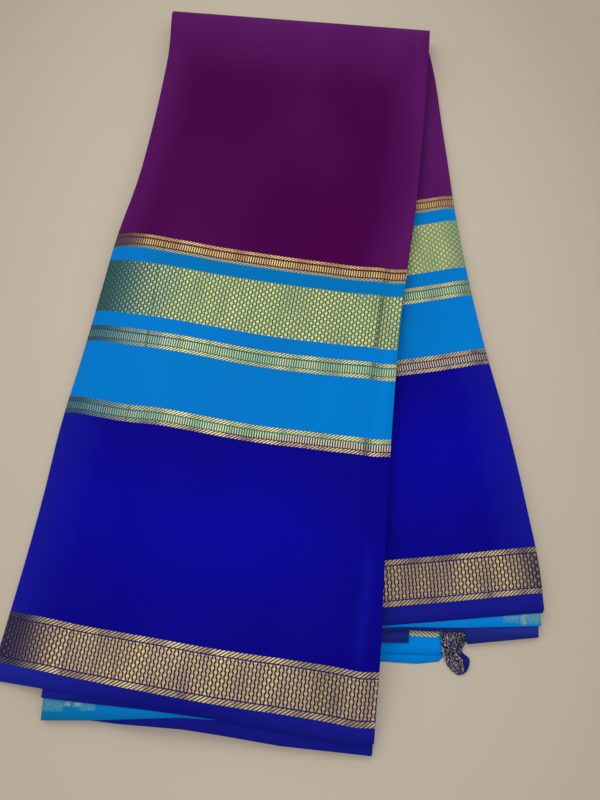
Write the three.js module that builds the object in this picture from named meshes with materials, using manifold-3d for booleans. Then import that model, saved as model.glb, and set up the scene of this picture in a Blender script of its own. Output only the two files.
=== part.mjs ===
// A silk sari folded for the shelf. The long cloth is pleated back and forth into a narrow stack as long
// as the cloth is wide, and the stack is folded once over its middle, at the far end. Its two halves
// come back towards the viewer and lie fanned apart, the front half partly on the back half.
// Millimetres, +Z up, the table at z = 0, the fold far off at +Y, the hems near at -Y.

import * as THREE from "three";
import Module from "manifold-3d";

// Driving dimensions
const LAYERS = 5;             // pleats modelled in each half, each standing for five of thin silk
const SHEET = 1.4;            // thickness of a modelled layer
const LAYER_GAP = 0.6;        // air between two layers of a half
const HALF_GAP = 0.8;         // air between the halves where one lies on the other
const PITCH = SHEET + LAYER_GAP;
const STACK = LAYERS * PITCH - LAYER_GAP;
const FULL_LIFT = STACK + HALF_GAP;

// The front half comes down off the back half's edges in a slope this wide, a little clear of them
const SLOPE = 60;
const SLOPE_CLEARANCE = 12;

// The two outer layers reach past the others at the near left corner and sink to the table there
const SAG_LAYERS = 2;
const SAG = 4.5;
const SAG_WIDTH = 22;
const SAG_CLEARANCE = 3;

// Steps of the round forms
const SIDE_FOLD_STEPS = 3;
const TOP_FOLD_STEPS = 6;

// The fold over the middle, from a pivot at its middle: heading is its turn from +X, in degrees
const PIVOT = { x: 18.36, y: 276.02 };
const FOLD = { x: -0.3, y: 9.6, heading: -6.2, width: 231 };

// Rows across each half. down and across give the row's middle from the pivot, along and square to
// the half's own heading, and turn is how far the row is turned from square to the half.
const FRONT = {
  heading: -8.6,
  rows: [
    { down: 32, across: 2.5, width: 226.2, turn: 2.4 },
    { down: 80, across: 5.3, width: 223.8, turn: 1.2 },
    { down: 128, across: 6.9, width: 222.2, turn: 0.4 },
    { down: 180, across: 7.3, width: 222.2, turn: 0 },
    { down: 235, across: 4.3, width: 225.8, turn: 0 },
    { down: 290, across: 3.6, width: 225.8, turn: 0 },
    { down: 345, across: 4.15, width: 227.7, turn: 0 },
    { down: 395, across: 4.8, width: 230.4, turn: 0 },
    { down: 440, across: 7.2, width: 231.0, turn: 0 },
    { down: 480, across: 8.85, width: 232.1, turn: 0 },
    { down: 512, across: 10.0, width: 234.0, turn: 0 },
    { down: 540, across: 10.6, width: 235.1, turn: 0 },
    { down: 556, across: 11.1, width: 235.9, turn: 0 },
    { down: 565, across: 11.2, width: 236.4, turn: 0 },
  ],
};

const BACK = {
  heading: 5.2,
  rows: [
    { down: 37.4, across: 2.5, width: 225.4, turn: -7.2 },
    { down: 100, across: 0.6, width: 222.2, turn: -1.5 },
    { down: 164, across: -1.3, width: 221.2, turn: 3.0 },
    { down: 219, across: -3.8, width: 221.2, turn: 4.9 },
    { down: 275, across: -4.8, width: 221.2, turn: 4.4 },
    { down: 333, across: -3.8, width: 221.2, turn: 3.7 },
    { down: 390, across: -0.3, width: 221.0, turn: 2.2 },
    { down: 445, across: 0.4, width: 221.0, turn: 0.6 },
    { down: 488, across: -0.6, width: 221.0, turn: 0 },
    { down: 512, across: -3.4, width: 221.0, turn: 0 },
  ],
};

// How far each side fold, or free edge, of the pleats lies in from the outline, at the fold over the
// middle and at each half's hem. Layer 1 is the outermost, on top of the front half, and its free edge
// comes first. Each fold is below the layer of its number.
const SIDES = [
  { layer: 0, side: "right", atFold: 0.6, frontHem: 0, backHem: 8 },
  { layer: 1, side: "left", atFold: 0, frontHem: 0, backHem: 6 },
  { layer: 2, side: "right", atFold: 0, frontHem: 1.4, backHem: 6.5 },
  { layer: 3, side: "left", atFold: 1.6, frontHem: 36.5, backHem: 2 },
  { layer: 4, side: "right", atFold: 1.2, frontHem: 0.2, backHem: 0 },
  { layer: 5, side: "left", atFold: 0.8, frontHem: 38, backHem: 0 },
];

// Places along a layer's width where its points lie, as shares of the outline's width
const STATIONS = [0.15, 0.24, 0.34, 0.44, 0.53, 0.61, 0.63, 0.69, 0.71, 0.78, 0.89];

// More points of each layer, as shares of the way from its left side to the first station
const LEFT_POINTS = [0.33, 0.67];

// Hems: how far down each layer reaches, at shares of the outline's width. The layers under the top
// one show below it as ledges, and the last ones of the back half are the cloth's worked end.
const FRONT_HEMS = [
  [{ at: 0, reach: 563 }, { at: 0.5, reach: 565 }, { at: 0.95, reach: 566 }, { at: 1, reach: 564 }],
  [{ at: 0, reach: 566 }, { at: 0.145, reach: 568.5 }, { at: 0.42, reach: 566 }, { at: 1, reach: 563 }],
  [{ at: 0.03, reach: 582.6 }, { at: 0.29, reach: 576 }, { at: 0.54, reach: 566 }, { at: 1, reach: 562 }],
  [{ at: 0, reach: 575 }, { at: 0.3, reach: 576.6 }, { at: 0.54, reach: 572.6 }, { at: 1, reach: 571 }],
  [{ at: 0, reach: 570 }, { at: 0.53, reach: 569 }, { at: 1, reach: 567 }],
];

const BACK_HEMS = [
  [{ at: 0.5, reach: 532 }, { at: 0.63, reach: 536.7 }, { at: 0.69, reach: 535 }, { at: 0.71, reach: 514 }],
  [{ at: 0.5, reach: 526 }, { at: 0.69, reach: 529 }, { at: 0.71, reach: 519 }, { at: 1, reach: 516 }],
  [{ at: 0.61, reach: 522.8 }, { at: 0.63, reach: 516 }, { at: 0.71, reach: 519 }, { at: 0.78, reach: 527 }],
  [{ at: 0.5, reach: 513 }, { at: 0.78, reach: 517.5 }, { at: 1, reach: 520.5 }],
  [{ at: 0.5, reach: 512 }, { at: 1, reach: 512 }],
];

// The crumpled corner of the border that hangs out from between the back half's lower layers
const TAIL_SHEET = 1;
const TAIL_PLEATS = [-1, 1, -1, 1, -1, 1];
const TAIL_ROWS = [
  { down: 512, across: 50.5, width: 13, middle: 2.7, pleat: 0 },
  { down: 517, across: 50.5, width: 14, middle: 2.7, pleat: 0 },
  { down: 523, across: 50.8, width: 14.5, middle: 2.2, pleat: 1.0 },
  { down: 531, across: 50.6, width: 14, middle: 2.3, pleat: 1.7 },
  { down: 538, across: 50.4, width: 11, middle: 1.8, pleat: 1.2 },
  { down: 543, across: 48, width: 7, middle: 1.1, pleat: 0.5 },
];

// The value of one column of a table at a place, straight between its rows and level past its ends
function tableValue(table, key, place, column) {
  const next = table.findIndex((row) => row[key] >= place);
  if (next === 0) return table[0][column];
  if (next < 0) return table[table.length - 1][column];
  const from = table[next - 1];
  const to = table[next];
  return THREE.MathUtils.mapLinear(place, from[key], to[key], from[column], to[column]);
}

// Unit vectors in plan of a half: across it to the right, and down it towards the hem
function directions(heading) {
  const angle = THREE.MathUtils.degToRad(heading);
  return {
    side: new THREE.Vector2(Math.cos(angle), Math.sin(angle)),
    down: new THREE.Vector2(Math.sin(angle), -Math.cos(angle)),
  };
}

// A point in plan on a row of a half, from the pivot. reach replaces how far down the row lies.
function planPoint(half, row, across, reach = row.down) {
  const { side, down } = directions(half.heading);
  const along = directions(half.heading + row.turn).side;
  return new THREE.Vector2()
    .addScaledVector(side, row.across)
    .addScaledVector(down, reach)
    .addScaledVector(along, across);
}

// The back half's left edge in its own frame, which the front half slopes down past
const backLeftEdge = BACK.rows.map((row) => {
  const { side, down } = directions(BACK.heading);
  const point = planPoint(BACK, row, -row.width / 2);
  return { down: point.dot(down), across: point.dot(side) };
});
const backHemDown = BACK.rows[BACK.rows.length - 1].down;

// Height of the front half's underside: the table, or the back half's top where it lies on that
function frontLift(point) {
  const { side, down } = directions(BACK.heading);
  const pastHem = point.dot(down) - backHemDown - SLOPE_CLEARANCE;
  const edge = tableValue(backLeftEdge, "down", point.dot(down), "across");
  const pastEdge = edge - SLOPE_CLEARANCE - point.dot(side);
  const farthest = Math.max(pastHem, pastEdge, 0);
  return FULL_LIFT * (1 - THREE.MathUtils.smoothstep(farthest, 0, SLOPE));
}

// The underside's height across one row, straight between the stations so that all layers share it
function liftProfile(row) {
  const table = [0, ...STATIONS, 1].map((share) => {
    const across = (share - 0.5) * row.width;
    return { across, lift: frontLift(planPoint(FRONT, row, across)) };
  });
  return (across) => tableValue(table, "across", across, "lift");
}

// How far a side fold lies in from the outline in a row, share being 0 at the top fold and 1 at the hem
function sideInset(fold, hemColumn, share) {
  return THREE.MathUtils.lerp(fold.atFold, fold[hemColumn], share * share);
}

// One row's way through all the pleats, as points with the direction out of the sheet: layers from one
// side fold to the next, joined by half circles. height is measured from the half's inner face.
function pleatPath(width, insets) {
  const radius = PITCH / 2;
  const stations = STATIONS.map((share) => (share - 0.5) * width);
  const edge = (index) => {
    const inset = insets[index] + (index === 0 || index === LAYERS ? 0 : radius + SHEET / 2);
    return SIDES[index].side === "left" ? inset - width / 2 : width / 2 - inset;
  };
  const path = [];
  for (let layer = 1; layer <= LAYERS; layer += 1) {
    const height = SHEET / 2 + (LAYERS - layer) * PITCH;
    const leftward = SIDES[layer].side === "left";
    const [left, right] = leftward ? [edge(layer), edge(layer - 1)] : [edge(layer - 1), edge(layer)];
    const leftPoints = LEFT_POINTS.map((share) => THREE.MathUtils.lerp(left, stations[0], share));
    const places = [left, ...leftPoints, ...stations, right];
    const outHeight = leftward ? -1 : 1;
    for (const across of leftward ? places.reverse() : places) {
      path.push({ layer, across, height, outAcross: 0, outHeight });
    }
    if (layer === LAYERS) break;
    for (let step = 1; step < SIDE_FOLD_STEPS; step += 1) {
      const angle = Math.PI * (0.5 - (outHeight * step) / SIDE_FOLD_STEPS);
      path.push({
        layer: layer + step / SIDE_FOLD_STEPS,
        across: edge(layer) + radius * Math.cos(angle),
        height: height - radius + radius * Math.sin(angle),
        outAcross: outHeight * Math.cos(angle),
        outHeight: outHeight * Math.sin(angle),
      });
    }
  }
  return path;
}

// How far down a point of the hem row reaches, blended between two layers round their side fold
function hemReach(hems, point, width) {
  const share = point.across / width + 0.5;
  const upper = hems[Math.floor(point.layer) - 1];
  const lower = hems[Math.ceil(point.layer) - 1];
  const part = point.layer - Math.floor(point.layer);
  return THREE.MathUtils.lerp(
    tableValue(upper, "at", share, "reach"),
    tableValue(lower, "at", share, "reach"),
    part,
  );
}

// Both faces of the sheet at a path point, carried to space by a function of across and height
function sheetFaces(point, carry) {
  return [SHEET / 2, -SHEET / 2].map((offset) =>
    carry(point.across + offset * point.outAcross, point.height + offset * point.outHeight),
  );
}

// Sag of the outer layers where they reach past the lower ones on the left
function outerSag(point, across, width, insets) {
  if (point.layer > SAG_LAYERS) return 0;
  const lowerEdge = insets[SAG_LAYERS + 1] - width / 2;
  return SAG * THREE.MathUtils.smoothstep(lowerEdge - SAG_CLEARANCE - across, 0, SAG_WIDTH);
}

// Rows of one half from the top fold to the hem, the last with each layer's own reach. toHeights
// gives a row's function from a point of the half to its height above the table.
function halfRows(half, hems, hemColumn, toHeights) {
  const last = half.rows.length - 1;
  return half.rows.map((row, index) => {
    const insets = SIDES.map((fold) => sideInset(fold, hemColumn, row.down / half.rows[last].down));
    const toHeight = toHeights(half.rows[Math.min(index, last - 1)], row.width, insets);
    return pleatPath(row.width, insets).map((point) => {
      const reach = index === last ? hemReach(hems, point, row.width) : row.down;
      return sheetFaces(point, (across, height) => {
        const place = planPoint(half, row, across, reach);
        return new THREE.Vector3(place.x, place.y, toHeight(point, across, height));
      });
    });
  });
}

// Rows round the fold over the middle, from the front half's side to the back half's
function foldRows() {
  const { side, down } = directions(FOLD.heading);
  const insets = SIDES.map((fold) => fold.atFold);
  const path = pleatPath(FOLD.width, insets);
  const rows = [];
  for (let step = 0; step <= TOP_FOLD_STEPS; step += 1) {
    const angle = (Math.PI * step) / TOP_FOLD_STEPS;
    const carry = (across, height) => {
      const radius = HALF_GAP / 2 + height;
      const outward = -radius * Math.sin(angle);
      return new THREE.Vector3(
        FOLD.x + side.x * across + down.x * outward,
        FOLD.y + side.y * across + down.y * outward,
        STACK + HALF_GAP / 2 + radius * Math.cos(angle),
      );
    };
    rows.push(path.map((point) => sheetFaces(point, carry)));
  }
  return rows;
}

// A closed solid from rows of points that each have a first and a second face. The quads of both faces
// and of every layer are split along the same diagonal in plan, so that they nest without touching.
function sheetSolid(wasm, rows) {
  const count = rows[0].length;
  const vertex = (row, point, face) => (row * count + point) * 2 + face;
  const triangles = [];
  const quad = (a, b, c, d) => triangles.push(a, b, c, a, c, d);
  for (let row = 0; row < rows.length - 1; row += 1) {
    for (let point = 0; point < count - 1; point += 1) {
      const corners = [[row, point], [row, point + 1], [row + 1, point + 1], [row + 1, point]];
      const runsLeft = rows[row][point + 1][0].x < rows[row][point][0].x;
      if (runsLeft) corners.push(corners.shift());
      const [a, b, c, d] = corners;
      quad(...[a, b, c, d].map(([r, p]) => vertex(r, p, 0)));
      quad(...[a, d, c, b].map(([r, p]) => vertex(r, p, 1)));
    }
    for (const [point, one, other] of [[0, 1, 0], [count - 1, 0, 1]]) {
      quad(
        vertex(row, point, one),
        vertex(row, point, other),
        vertex(row + 1, point, other),
        vertex(row + 1, point, one),
      );
    }
  }
  for (let point = 0; point < count - 1; point += 1) {
    for (const [row, one, other] of [[0, 0, 1], [rows.length - 1, 1, 0]]) {
      quad(
        vertex(row, point, one),
        vertex(row, point, other),
        vertex(row, point + 1, other),
        vertex(row, point + 1, one),
      );
    }
  }
  const positions = rows.flat(2).flatMap((place) => place.toArray());
  return new wasm.Manifold(new wasm.Mesh({
    numProp: 3,
    vertProperties: new Float32Array(positions),
    triVerts: new Uint32Array(triangles),
  }));
}

// The crumpled corner: a short narrowing sheet in upright pleats, its root inside the second layer
function tailRows() {
  const half = { heading: BACK.heading };
  return TAIL_ROWS.map((row) =>
    TAIL_PLEATS.map((rise, index) => {
      const across = row.width * (index / (TAIL_PLEATS.length - 1) - 0.5);
      const place = planPoint(half, { across: row.across, turn: 0 }, across, row.down);
      const middle = row.middle + rise * row.pleat;
      const upper = Math.max(middle + TAIL_SHEET / 2, TAIL_SHEET);
      return [upper, upper - TAIL_SHEET].map((z) => new THREE.Vector3(place.x, place.y, z));
    }),
  );
}

// A geometry from a solid, moved so that the pivot lies at its place in the part's frame
function placedGeometry(solid) {
  const mesh = solid.getMesh();
  const geometry = new THREE.BufferGeometry();
  geometry.setAttribute("position", new THREE.BufferAttribute(mesh.vertProperties, 3));
  geometry.setIndex(new THREE.BufferAttribute(mesh.triVerts, 1));
  geometry.translate(PIVOT.x, PIVOT.y, 0);
  geometry.computeVertexNormals();
  return geometry;
}

const wasm = await Module();
wasm.setup();

// The whole cloth: front half from its hem to the fold, round it, and the back half to its hem
const frontRows = halfRows(FRONT, FRONT_HEMS, "frontHem", (liftRow, width, insets) => {
  const lift = liftProfile(liftRow);
  return (point, across, height) => lift(across) + height - outerSag(point, across, width, insets);
});
const backRows = halfRows(BACK, BACK_HEMS, "backHem", () => (point, across, height) => STACK - height);
const clothRows = [...frontRows.reverse(), ...foldRows(), ...backRows];
const cloth = sheetSolid(wasm, clothRows);
const tail = sheetSolid(wasm, tailRows().reverse());

const silk = new THREE.MeshStandardMaterial({ color: 0x1c1a92, roughness: 0.55, metalness: 0 });
const sari = new THREE.Mesh(placedGeometry(cloth.add(tail)), silk);
sari.name = "sari";

const part = new THREE.Group();
part.add(sari);

export default part;
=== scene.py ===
# A silk sari folded for the shelf, made as one long thin cloth: 25 pleats of it lie on each other, and
# the stack is folded once over its middle. Everything is worked out in millimetres and made in metres.

import math
from functools import reduce

import bpy
import numpy as np
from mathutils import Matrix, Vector


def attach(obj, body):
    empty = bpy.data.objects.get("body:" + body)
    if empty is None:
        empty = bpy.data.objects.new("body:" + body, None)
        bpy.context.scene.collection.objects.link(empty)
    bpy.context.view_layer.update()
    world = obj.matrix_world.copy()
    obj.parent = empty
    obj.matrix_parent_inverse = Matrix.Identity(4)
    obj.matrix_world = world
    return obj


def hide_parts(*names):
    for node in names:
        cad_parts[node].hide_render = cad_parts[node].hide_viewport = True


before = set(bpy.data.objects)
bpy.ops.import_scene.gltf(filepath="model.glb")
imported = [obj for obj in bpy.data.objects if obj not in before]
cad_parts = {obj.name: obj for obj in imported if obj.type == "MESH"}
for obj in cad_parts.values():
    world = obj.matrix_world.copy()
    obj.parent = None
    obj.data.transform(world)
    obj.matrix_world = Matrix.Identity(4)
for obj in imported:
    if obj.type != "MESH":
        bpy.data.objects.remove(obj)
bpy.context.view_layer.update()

MM = 0.001
scene = bpy.context.scene

# Driving dimensions, those of the solid where it has them
LAYERS = 25  # pleats of cloth on each other in each half
SHEET = 0.24  # thickness of the silk as it is modelled
STACK = 9.4  # height of a half
PITCH = (STACK - SHEET) / (LAYERS - 1)
HALF_GAP = 0.8  # between the two halves
FULL_LIFT = STACK + HALF_GAP
SLOPE = 60  # length of the front half's slope off the back half
SLOPE_CLEARANCE = 12
SAG = 5.5  # how far the outer layers hang down where they reach past the lower ones
SAG_LAYERS = 2
SAG_WIDTH = 22
SAG_CLEARANCE = 3
PIVOT = (18.36, 276.02)  # where the halves' own coordinates start, from the frame's origin
FOLD = {"x": -0.3, "y": 9.6, "heading": -6.2, "width": 231}
CLOTH_LENGTH = 5.5
PLEAT = CLOTH_LENGTH / LAYERS / MM
BACK_AT = 1000  # added to the back half's places across, which puts them all past BACK_FROM
BACK_FROM = 600

# Rows across each half: how far down it, how far across, the row's width and its turn in degrees
FRONT_HEADING = -8.6
FRONT_ROWS = [
    (32, 2.5, 226.2, 2.4),
    (80, 5.3, 223.8, 1.2),
    (128, 6.9, 222.2, 0.4),
    (180, 7.3, 222.2, 0),
    (235, 4.3, 225.8, 0),
    (290, 3.6, 225.8, 0),
    (345, 4.15, 227.7, 0),
    (395, 4.8, 230.4, 0),
    (440, 7.2, 231, 0),
    (480, 8.85, 232.1, 0),
    (512, 10, 234, 0),
    (540, 10.6, 235.1, 0),
    (565, 11.2, 236.4, 0),
]
BACK_HEADING = 5.2
BACK_ROWS = [
    (37.4, 2.5, 225.4, -7.2),
    (100, 0.6, 222.2, -1.5),
    (164, -1.3, 221.2, 3),
    (219, -3.8, 221.2, 4.9),
    (275, -4.8, 221.2, 4.4),
    (333, -3.8, 221.2, 3.7),
    (390, -0.3, 221, 2.2),
    (445, 0.4, 221, 0.6),
    (488, -0.6, 221, 0),
    (512, -3.4, 221, 0),
]

# Groups of layers that lie together at a hem: last layer, how far its left and right edges lie in from
# the outline there, how far down it reaches at shares of the outline's width, and its border's kind
MAIN, SKY, ROYAL, STRIPE, PALLU = range(5)
FRONT_GROUPS = [
    (2, 0, 0.5, {0: 563, 0.5: 565, 0.95: 566, 1: 564}, MAIN),
    (6, 35.5, 1, {0.145: 568.5, 0.42: 566, 1: 563}, MAIN),
    (12, 37.6, 1.8, {0.14: 581.4, 0.29: 576.2, 0.54: 566, 1: 560}, SKY),
    (18, 38.5, 0.2, {0.13: 573, 0.3: 576.8, 0.54: 572.8, 0.77: 573.2, 1: 570.5}, ROYAL),
    (25, 39, 1, {0.13: 570, 0.53: 569, 1: 567}, ROYAL),
]
BACK_GROUPS = [
    (2, 6, 8, {0.5: 531.5, 0.625: 535.7, 0.685: 535.6, 0.697: 533.4, 0.702: 514}, PALLU),
    (6, 6, 7, {0.5: 527, 0.58: 528.6, 0.66: 530.8, 0.685: 531.8, 0.697: 530, 0.702: 514}, STRIPE),
    (8, 4, 6.5, {0: 514, 1: 515}, ROYAL),
    (12, 3, 6, {0.52: 521.2, 0.605: 522.9, 0.615: 514, 1: 514}, ROYAL),
    (17, 2, 5, {0.6: 515.5, 0.702: 518.5, 0.766: 519.9, 0.771: 527.2, 0.98: 527.2}, ROYAL),
    (21, 0, 3, {0.555: 512.7, 0.67: 515.6, 0.78: 518, 0.93: 520.2, 1: 521.2}, SKY),
    (23, 0, 0.6, {0: 512, 0.6: 512.3, 1: 513.4}, MAIN),
    (25, 0, 0, {0: 512, 1: 512}, MAIN),
]
FOLD_INSETS = (0.4, 1.4)  # how far in the side folds lie at the fold over the middle

# Border, in millimetres up from the edge of the cloth
E_BAND = (8.3, 38.8)
D_BAND = (175.3, 187.7)
C_BAND = (232.7, 246)
B_BAND = (258, 302.4)
A_BAND = (314.2, 326.7)
ROPES = [
    (D_BAND[0], D_BAND[0] + 2.8),
    (D_BAND[1] - 3.3, D_BAND[1]),
    (C_BAND[0], C_BAND[0] + 2.8),
    (C_BAND[1] - 3, C_BAND[1]),
    (A_BAND[0], A_BAND[0] + 2.4),
    (A_BAND[1] - 2.6, A_BAND[1]),
]
SKY_TOP, ROYAL_TOP = 320, 181.5
HEM_TOP = 8.5
LOW_TOP = 99.5  # between the lowest band and the others
END_TOP, END_STRIPE = 60, (8.2, 11.6)
ROPE_STEP, ROPE_SLANT = 2.75, 1.35
BAR_STEP = 1.72
COLUMN, UPPER_COLUMN = 2.275, 2.4
BEAD_STEP = 4.5
BEAD_STEPS = (4.7, 4.3, 4.8)  # bead to bead: wide band, lowest band of the front and of the back half
WARP_STEP, WEFT_STEP = 0.42, 0.36

# How far the bands run off their even level as the cloth is laid, at levels up from the edge: on the
# front half at shares of its width, on the back half all across it
FRONT_DRIFT = {
    24: {0: 2.4, 0.12: 1.6, 0.24: 0.9, 0.35: 0.3, 0.5: -0.3, 0.66: 0.3, 0.77: 0.9, 0.88: 1, 1: 0.3},
    181: {0: 4.6, 0.12: 2.4, 0.24: 0.4, 0.35: 0, 0.45: -1, 0.55: -1.7, 0.77: -0.4, 0.88: 0.3, 1: 1},
    239: {0: 4.8, 0.12: 2.5, 0.24: 0.4, 0.35: 0, 0.45: -1.4, 0.55: -2.5, 0.77: -1.7, 0.88: -0.4, 1: 0},
    280: {0: 3.8, 0.12: 1.6, 0.24: 0.4, 0.35: -0.3, 0.45: -1.1, 0.6: -1.5, 0.88: -0.4, 1: -0.3},
    320: {0: 3.6, 0.12: 2.7, 0.24: 1.2, 0.35: -0.4, 0.5: -1.4, 0.7: -1.6, 0.88: -1, 1: 0.4},
    400: {0: 0, 1: 0},
}
BACK_DRIFT = {8: 2.5, 39: 1.3, 181: -0.7, 239: 0.7, 320: 1, 400: 0}

# Patches of gold thread on the sky blue edges: from and to across a half, the back half's 1000 on, from
# and to above the edge, and how dense
PATCHES = [
    (36, 50, 4.5, 13, 0.22),
    (50.6, 53.8, 7, 12, 0.8),
    (55.7, 60, 7, 11.5, 0.9),
    (60, 69, 5, 13, 0.25),
    (36, 62, 13.4, 15.2, 0.5),
    (1194, 1203.5, 1.5, 10.5, 0.28),
    (1204.8, 1208.2, 0.6, 10.5, 0.95),
    (1209, 1218.6, 0.8, 10.5, 0.38),
]

# Soft creases of the upper face of each half: from and to a place down and across it, height (a trough
# where it is below zero) and width
FRONT_CREASES = [
    ((20, -97), (240, -96), 0.7, 8),
    ((240, -96), (430, -92), 0.5, 11),
    ((430, -92), (560, -84), 0.6, 10),
    ((60, 92), (330, 97), 0.8, 7),
    ((330, 97), (560, 96), 0.5, 9),
    ((40, 60), (300, 78), -0.6, 14),
    ((80, -60), (330, -70), -0.4, 18),
    ((180, 20), (420, 5), 0.35, 26),
    ((380, -60), (560, -40), -0.5, 22),
    ((340, 40), (565, 20), 0.45, 24),
    ((450, 70), (565, 62), -0.5, 12),
]
BACK_CREASES = [
    ((120, 96), (330, 98), 0.6, 8),
    ((330, 98), (500, 97), 0.7, 9),
    ((330, 60), (505, 40), -0.5, 16),
    ((260, 40), (480, 76), 0.4, 18),
    ((440, 60), (512, 70), 0.4, 12),
]


def curve(keys, values, place):
    """Smooth curve through a table's values, level past its ends."""
    keys, values, place = (np.asarray(x, float) for x in (keys, values, place))
    slopes = np.gradient(values, keys)
    place = np.clip(place, keys[0], keys[-1])
    at = np.clip(np.searchsorted(keys, place, side="right") - 1, 0, len(keys) - 2)
    step = keys[at + 1] - keys[at]
    t = (place - keys[at]) / step
    return (
        values[at] * (1 + 2 * t) * (1 - t) ** 2
        + slopes[at] * step * t * (1 - t) ** 2
        + values[at + 1] * t * t * (3 - 2 * t)
        + slopes[at + 1] * step * t * t * (t - 1)
    )


def smoothstep(value, low, high):
    t = np.clip((np.asarray(value, float) - low) / (high - low), 0, 1)
    return t * t * (3 - 2 * t)


def directions(heading):
    """Unit vectors in plan of a half: across it to the right, and down it towards the hem."""
    angle = np.radians(heading)
    side = np.array([np.cos(angle), np.sin(angle)])
    down = np.array([np.sin(angle), -np.cos(angle)])
    return side, down


class Half:
    """One half of the stack: its rows as smooth curves, and what its layers do at the hem."""

    def __init__(self, heading, rows, groups, creases):
        self.heading = heading
        self.side, self.down = directions(heading)
        fold = np.array([FOLD["x"], FOLD["y"]])
        start = (fold @ self.down, fold @ self.side, FOLD["width"], FOLD["heading"] - heading)
        self.table = np.array([start, *rows], float)
        self.groups, self.creases = groups, creases
        self.length = rows[-1][0]

    def row(self, down):
        return [curve(self.table[:, 0], self.table[:, column], down) for column in (1, 2, 3)]

    def plan(self, down, across, reach):
        """Places in plan, from the pivot, of points across the row that lies this far down."""
        shift, _, turn = self.row(down)
        along, _ = directions(self.heading + turn)
        return (
            np.multiply.outer(np.full_like(across, shift), self.side)
            + np.multiply.outer(reach, self.down)
            + np.multiply.outer(across, along)
        )

    def group(self, layer):
        return next(g for g in self.groups if layer <= g[0])

    def hem(self, layer, share):
        table = self.group(layer)[3]
        return np.interp(share, list(table), list(table.values()))


front = Half(FRONT_HEADING, FRONT_ROWS, FRONT_GROUPS, FRONT_CREASES)
back = Half(BACK_HEADING, BACK_ROWS, BACK_GROUPS, BACK_CREASES)


def left_edge():
    """The back half's left edge in its own frame, which the front half slopes down past."""
    downs = np.linspace(back.table[0, 0], back.length, 60)
    places = [back.plan(d, np.array([-back.row(d)[1] / 2]), np.array([d]))[0] for d in downs]
    return np.array([(p @ back.down, p @ back.side) for p in places])


BACK_LEFT = left_edge()


def front_lift(places):
    """Height of the front half's underside: the table, or the back half's top where it lies on that."""
    down = places @ back.down
    edge = np.interp(down, BACK_LEFT[:, 0], BACK_LEFT[:, 1])
    past_edge = np.maximum(edge - SLOPE_CLEARANCE - places @ back.side, 0)
    past_hem = np.maximum(down - back.length - SLOPE_CLEARANCE, 0)
    return FULL_LIFT * (1 - smoothstep(np.hypot(past_edge, past_hem), 0, SLOPE))


def relief(half, places):
    """Height of the soft creases at places of a half, fading out at the fold over the middle."""
    down, across = places @ half.down, places @ half.side
    total = 0.25 * np.sin(down / 47 + across / 63) + 0.2 * np.sin(down / 83 - across / 29 + 1.3)
    for (d0, a0), (d1, a1), height, width in half.creases:
        run = np.array([d1 - d0, a1 - a0], float)
        share = ((down - d0) * run[0] + (across - a0) * run[1]) / (run @ run)
        near = np.clip(share, 0, 1)
        apart = np.hypot(down - d0 - near * run[0], across - a0 - near * run[1])
        total = total + height * np.exp(-((apart / width) ** 2))
    return total * smoothstep(down, 4, 60)


def edge_drop(share, width):
    """How much of its height the stack keeps at a place, less near its rounded sides."""
    inside = np.minimum(share, 1 - share) * width
    return 1 - 0.13 * (1 - smoothstep(inside, -2, 15))


# Stations across a layer: shares between a layer's left edge and the first fixed one, shares of the
# outline's width, and shares between the last fixed one and the right edge
COARSE = (
    [0.3, 0.65],
    [0.2, 0.28, 0.36, 0.44, 0.52, 0.605, 0.615, 0.685, 0.697, 0.702, 0.766, 0.771, 0.86, 0.94],
    [],
)
FINE = (
    [0.05, 0.12, 0.2, 0.3, 0.41, 0.52, 0.64, 0.76, 0.88],
    sorted([*np.linspace(0.2, 0.94, 34), 0.605, 0.685, 0.697, 0.702, 0.766, 0.771]),
    [0.25, 0.5, 0.7, 0.85, 0.95],
)
SIDE_FOLD_STEPS = 3
TOP_FOLD_STEPS = 9
FRONT_BODY_ROWS, FRONT_LAST_ROWS = 34, 6
BACK_BODY_ROWS, BACK_LAST_ROWS = 28, 7
LAST_STRETCH = 45  # the hems' reaches part over this length above the hem


def layer_points(layer):
    """Points of one layer from its start to its end: each a kind of place and its value."""
    left, fixed, right = FINE if layer in (1, LAYERS) else COARSE
    if layer <= SAG_LAYERS:
        left = FINE[0]
    points = [("left", 0), *[("left", t) for t in left], *[("share", t) for t in fixed]]
    points += [*[("right", t) for t in right], ("right", 1)]
    return points[::-1] if layer % 2 else points


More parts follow.
